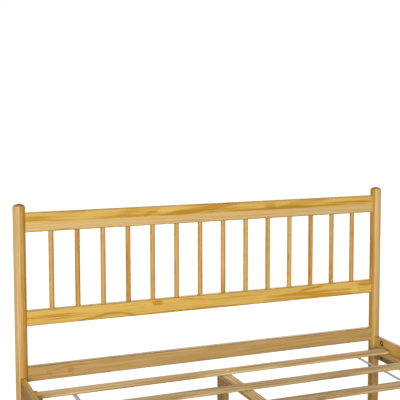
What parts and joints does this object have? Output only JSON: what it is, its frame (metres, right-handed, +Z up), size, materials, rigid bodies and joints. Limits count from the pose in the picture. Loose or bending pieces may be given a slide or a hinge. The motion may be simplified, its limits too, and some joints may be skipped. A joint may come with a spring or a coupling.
{
  "type": "spindle bed",
  "caption": "Queen-size wooden bed frame with round posts, a spindle headboard, bolted side rails and a slatted deck on a centre beam with legs.",
  "frame": {"origin": "on the floor, under the centre of the bed", "axes": "+Y towards the headboard, +X to the right as seen from the foot, +Z up"},
  "size_m": [1.613, 2.152, 0.994],
  "materials": {
    "lacquered_pine": "satin clear lacquer over golden pine",
    "plain_pine": "planed, unfinished",
    "dowel_birch": "turned, unfinished",
    "bolt_steel": "dark browned",
    "screw_steel": "zinc plated",
    "webbing": "woven flat webbing",
    "glide_nylon": "moulded nylon"
  },
  "bodies": {
    "root": {"head_post_left": "lacquered_pine", "head_post_right": "lacquered_pine", "foot_post_left": "lacquered_pine", "foot_post_right": "lacquered_pine", "side_rail_left": "lacquered_pine", "side_rail_right": "lacquered_pine", "headboard_top_rail": "lacquered_pine", "headboard_middle_rail": "lacquered_pine", "headboard_low_rail": "lacquered_pine", "foot_rail": "lacquered_pine", "spindle_01": "lacquered_pine", "spindle_02": "lacquered_pine", "spindle_03": "lacquered_pine", "spindle_04": "lacquered_pine", "spindle_05": "lacquered_pine", "spindle_06": "lacquered_pine", "spindle_07": "lacquered_pine", "spindle_08": "lacquered_pine", "spindle_09": "lacquered_pine", "spindle_10": "lacquered_pine", "spindle_11": "lacquered_pine", "spindle_12": "lacquered_pine", "spindle_13": "lacquered_pine", "spindle_14": "lacquered_pine", "slat_ledger_left": "plain_pine", "slat_ledger_right": "plain_pine", "slat_01": "plain_pine", "slat_02": "plain_pine", "slat_03": "plain_pine", "slat_04": "plain_pine", "slat_05": "plain_pine", "slat_06": "plain_pine", "slat_07": "plain_pine", "slat_08": "plain_pine", "slat_09": "plain_pine", "slat_10": "plain_pine", "centre_beam": "plain_pine", "centre_leg_1": "plain_pine", "centre_leg_2": "plain_pine", "centre_leg_3": "plain_pine", "centre_leg_4": "plain_pine", "side_rail_dowels": "dowel_birch", "cross_rail_dowels": "dowel_birch", "bed_bolts": "bolt_steel", "half_moon_washers": "bolt_steel", "bed_nuts": "bolt_steel", "ledger_screws": "screw_steel", "slat_screws": "screw_steel", "leg_screws": "screw_steel", "strap_staples": "screw_steel", "slat_strap_left": "webbing", "slat_strap_right": "webbing", "post_glides": "glide_nylon", "leg_glides": "glide_nylon"}
  },
  "joints": []
}
